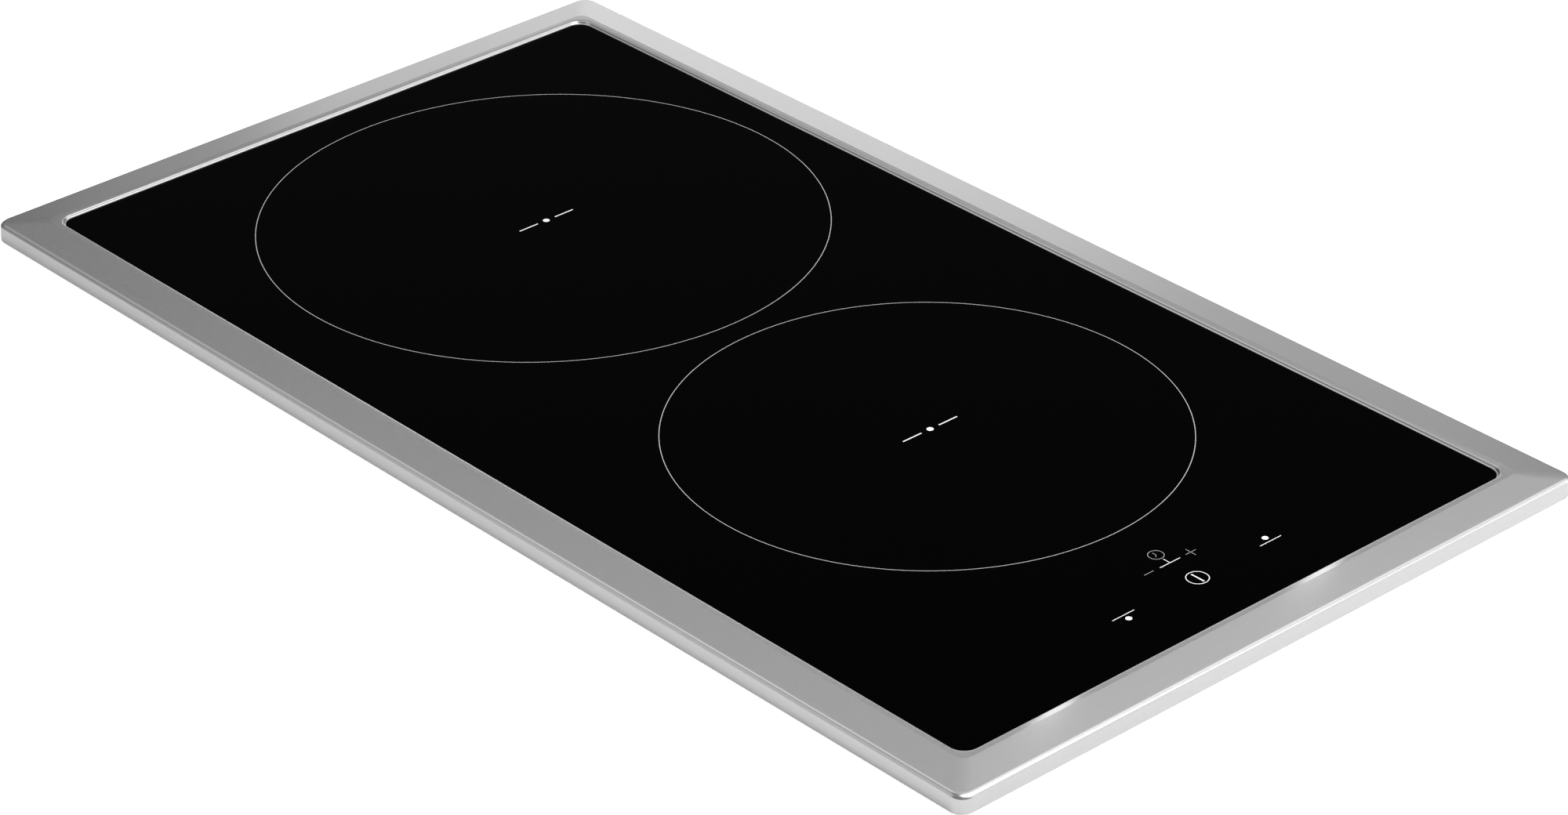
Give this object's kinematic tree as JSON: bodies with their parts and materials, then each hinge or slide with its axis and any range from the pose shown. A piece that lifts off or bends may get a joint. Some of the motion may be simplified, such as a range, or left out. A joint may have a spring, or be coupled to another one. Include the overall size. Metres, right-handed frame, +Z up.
{
  "type": "induction cooktop",
  "caption": "Narrow built-in induction cooktop: black glass with two round zones and touch keys in a stainless frame, over a steel case with coils, blower and electronics.",
  "frame": {"origin": "centre of the underside of the case", "axes": "+X to the right, +Y to the back, +Z up; the touch keys are at the front, towards -Y"},
  "size_m": [0.281, 0.51, 0.0544],
  "materials": {
    "stainless": "satin stainless steel, pressed and brushed",
    "glass_ceramic": "black glass-ceramic, polished",
    "silicone": "cured silicone, matte",
    "foam": "closed-cell foam strip",
    "zinc_steel": "zinc-coated sheet steel",
    "screw_steel": "zinc-plated steel",
    "brass_nut": "turned brass",
    "aluminium_sheet": "mill-finish sheet",
    "aluminium_profile": "extruded",
    "circuit_board": "green solder mask",
    "nylon_white": "moulded nylon",
    "component_black": "moulded epoxy",
    "capacitor_yellow": "box capacitor case",
    "capacitor_blue": "box capacitor case",
    "copper_wire": "enamelled copper litz",
    "ferrite": "sintered ferrite",
    "carrier_plastic": "moulded, glass-filled",
    "mica": "pressed mica sheet",
    "ceramic_white": "fired ceramic",
    "spring_steel": "drawn spring wire",
    "black_plastic": "moulded, fine texture",
    "clear_guide": "clear moulded guide",
    "flat_wire": "flat cable",
    "clamp_steel": "zinc-plated strip"
  },
  "bodies": {
    "cooktop": {"trim_frame": "stainless", "glass_plate": "glass_ceramic", "frame_bond": "silicone", "worktop_seal": "foam", "glass_bond": "silicone", "rail_left": "zinc_steel", "rail_right": "zinc_steel", "bottom_case": "zinc_steel", "case_screws": "screw_steel", "clamp_nuts": "brass_nut", "coil_plate": "aluminium_sheet", "plate_posts": "brass_nut", "plate_screws": "screw_steel", "power_board": "circuit_board", "board_spacers": "nylon_white", "heat_sink": "aluminium_profile", "power_transistors": "component_black", "bridge_rectifier": "component_black", "smoothing_capacitors": "capacitor_yellow", "resonance_capacitors": "capacitor_blue", "filter_choke": "copper_wire", "filter_capacitors": "capacitor_yellow", "relays": "component_black", "fan_housing": "black_plastic", "fan_motor": "component_black", "fan_screws": "screw_steel", "control_board": "circuit_board", "control_holder": "carrier_plastic", "touch_springs": "spring_steel", "light_guides": "clear_guide", "buzzer": "component_black", "flat_cable": "flat_wire", "terminal_box": "black_plastic", "terminal_block": "nylon_white", "terminal_screws": "screw_steel", "cable_gland": "black_plastic", "gland_nut": "black_plastic", "coil_springs_rear": "spring_steel", "coil_springs_front": "spring_steel"},
    "fan_rotor": {"fan_impeller": "black_plastic"},
    "terminal_door": {"terminal_cover": "black_plastic"},
    "rear_coil": {"coil_carrier_rear": "carrier_plastic", "coil_winding_rear": "copper_wire", "ferrite_bars_rear": "ferrite", "mica_sheet_rear": "mica", "coil_sensor_rear": "ceramic_white"},
    "front_coil": {"coil_carrier_front": "carrier_plastic", "coil_winding_front": "copper_wire", "ferrite_bars_front": "ferrite", "mica_sheet_front": "mica", "coil_sensor_front": "ceramic_white"},
    "front_left_screw": {"clamp_screw_front_left": "screw_steel"},
    "front_left_clamp": {"clamp_arm_front_left": "clamp_steel"},
    "front_right_screw": {"clamp_screw_front_right": "screw_steel"},
    "front_right_clamp": {"clamp_arm_front_right": "clamp_steel"},
    "rear_left_screw": {"clamp_screw_rear_left": "screw_steel"},
    "rear_left_clamp": {"clamp_arm_rear_left": "clamp_steel"},
    "rear_right_screw": {"clamp_screw_rear_right": "screw_steel"},
    "rear_right_clamp": {"clamp_arm_rear_right": "clamp_steel"}
  },
  "joints": [
    {"name": "fan_spin", "type": "hinge", "parent": "cooktop", "child": "fan_rotor", "pos_m": [-0.038, 0.18, 0.016], "axis": [0, 0, 1], "continuous": true},
    {"name": "terminal_door_hinge", "type": "hinge", "parent": "cooktop", "child": "terminal_door", "pos_m": [0.0677, 0.239, 0.0368], "axis": [1, 0, 0], "range_deg": [0, 100]},
    {"name": "rear_coil_float", "type": "slide", "parent": "cooktop", "child": "rear_coil", "axis": [0, 0, -1], "range_m": [0, 0.003], "stiffness_N_per_m": 2500, "springref_m": -0.006, "deforming": ["coil_springs_rear"]},
    {"name": "front_coil_float", "type": "slide", "parent": "cooktop", "child": "front_coil", "axis": [0, 0, -1], "range_m": [0, 0.003], "stiffness_N_per_m": 2500, "springref_m": -0.006, "deforming": ["coil_springs_front"]},
    {"name": "front_left_screw_travel", "type": "slide", "parent": "cooktop", "child": "front_left_screw", "axis": [0, 0, -1], "range_m": [0, 0.008]},
    {"name": "front_left_clamp_swing", "type": "hinge", "parent": "front_left_screw", "child": "front_left_clamp", "pos_m": [-0.114, -0.176, 0.0131], "axis": [0, 0, -1], "range_deg": [0, 90]},
    {"name": "front_right_screw_travel", "type": "slide", "parent": "cooktop", "child": "front_right_screw", "axis": [0, 0, -1], "range_m": [0, 0.008]},
    {"name": "front_right_clamp_swing", "type": "hinge", "parent": "front_right_screw", "child": "front_right_clamp", "pos_m": [0.114, -0.176, 0.0131], "axis": [0, 0, 1], "range_deg": [0, 90]},
    {"name": "rear_left_screw_travel", "type": "slide", "parent": "cooktop", "child": "rear_left_screw", "axis": [0, 0, -1], "range_m": [0, 0.008]},
    {"name": "rear_left_clamp_swing", "type": "hinge", "parent": "rear_left_screw", "child": "rear_left_clamp", "pos_m": [-0.114, 0.176, 0.0131], "axis": [0, 0, 1], "range_deg": [0, 90]},
    {"name": "rear_right_screw_travel", "type": "slide", "parent": "cooktop", "child": "rear_right_screw", "axis": [0, 0, -1], "range_m": [0, 0.008]},
    {"name": "rear_right_clamp_swing", "type": "hinge", "parent": "rear_right_screw", "child": "rear_right_clamp", "pos_m": [0.114, 0.176, 0.0131], "axis": [0, 0, -1], "range_deg": [0, 90]}
  ]
}
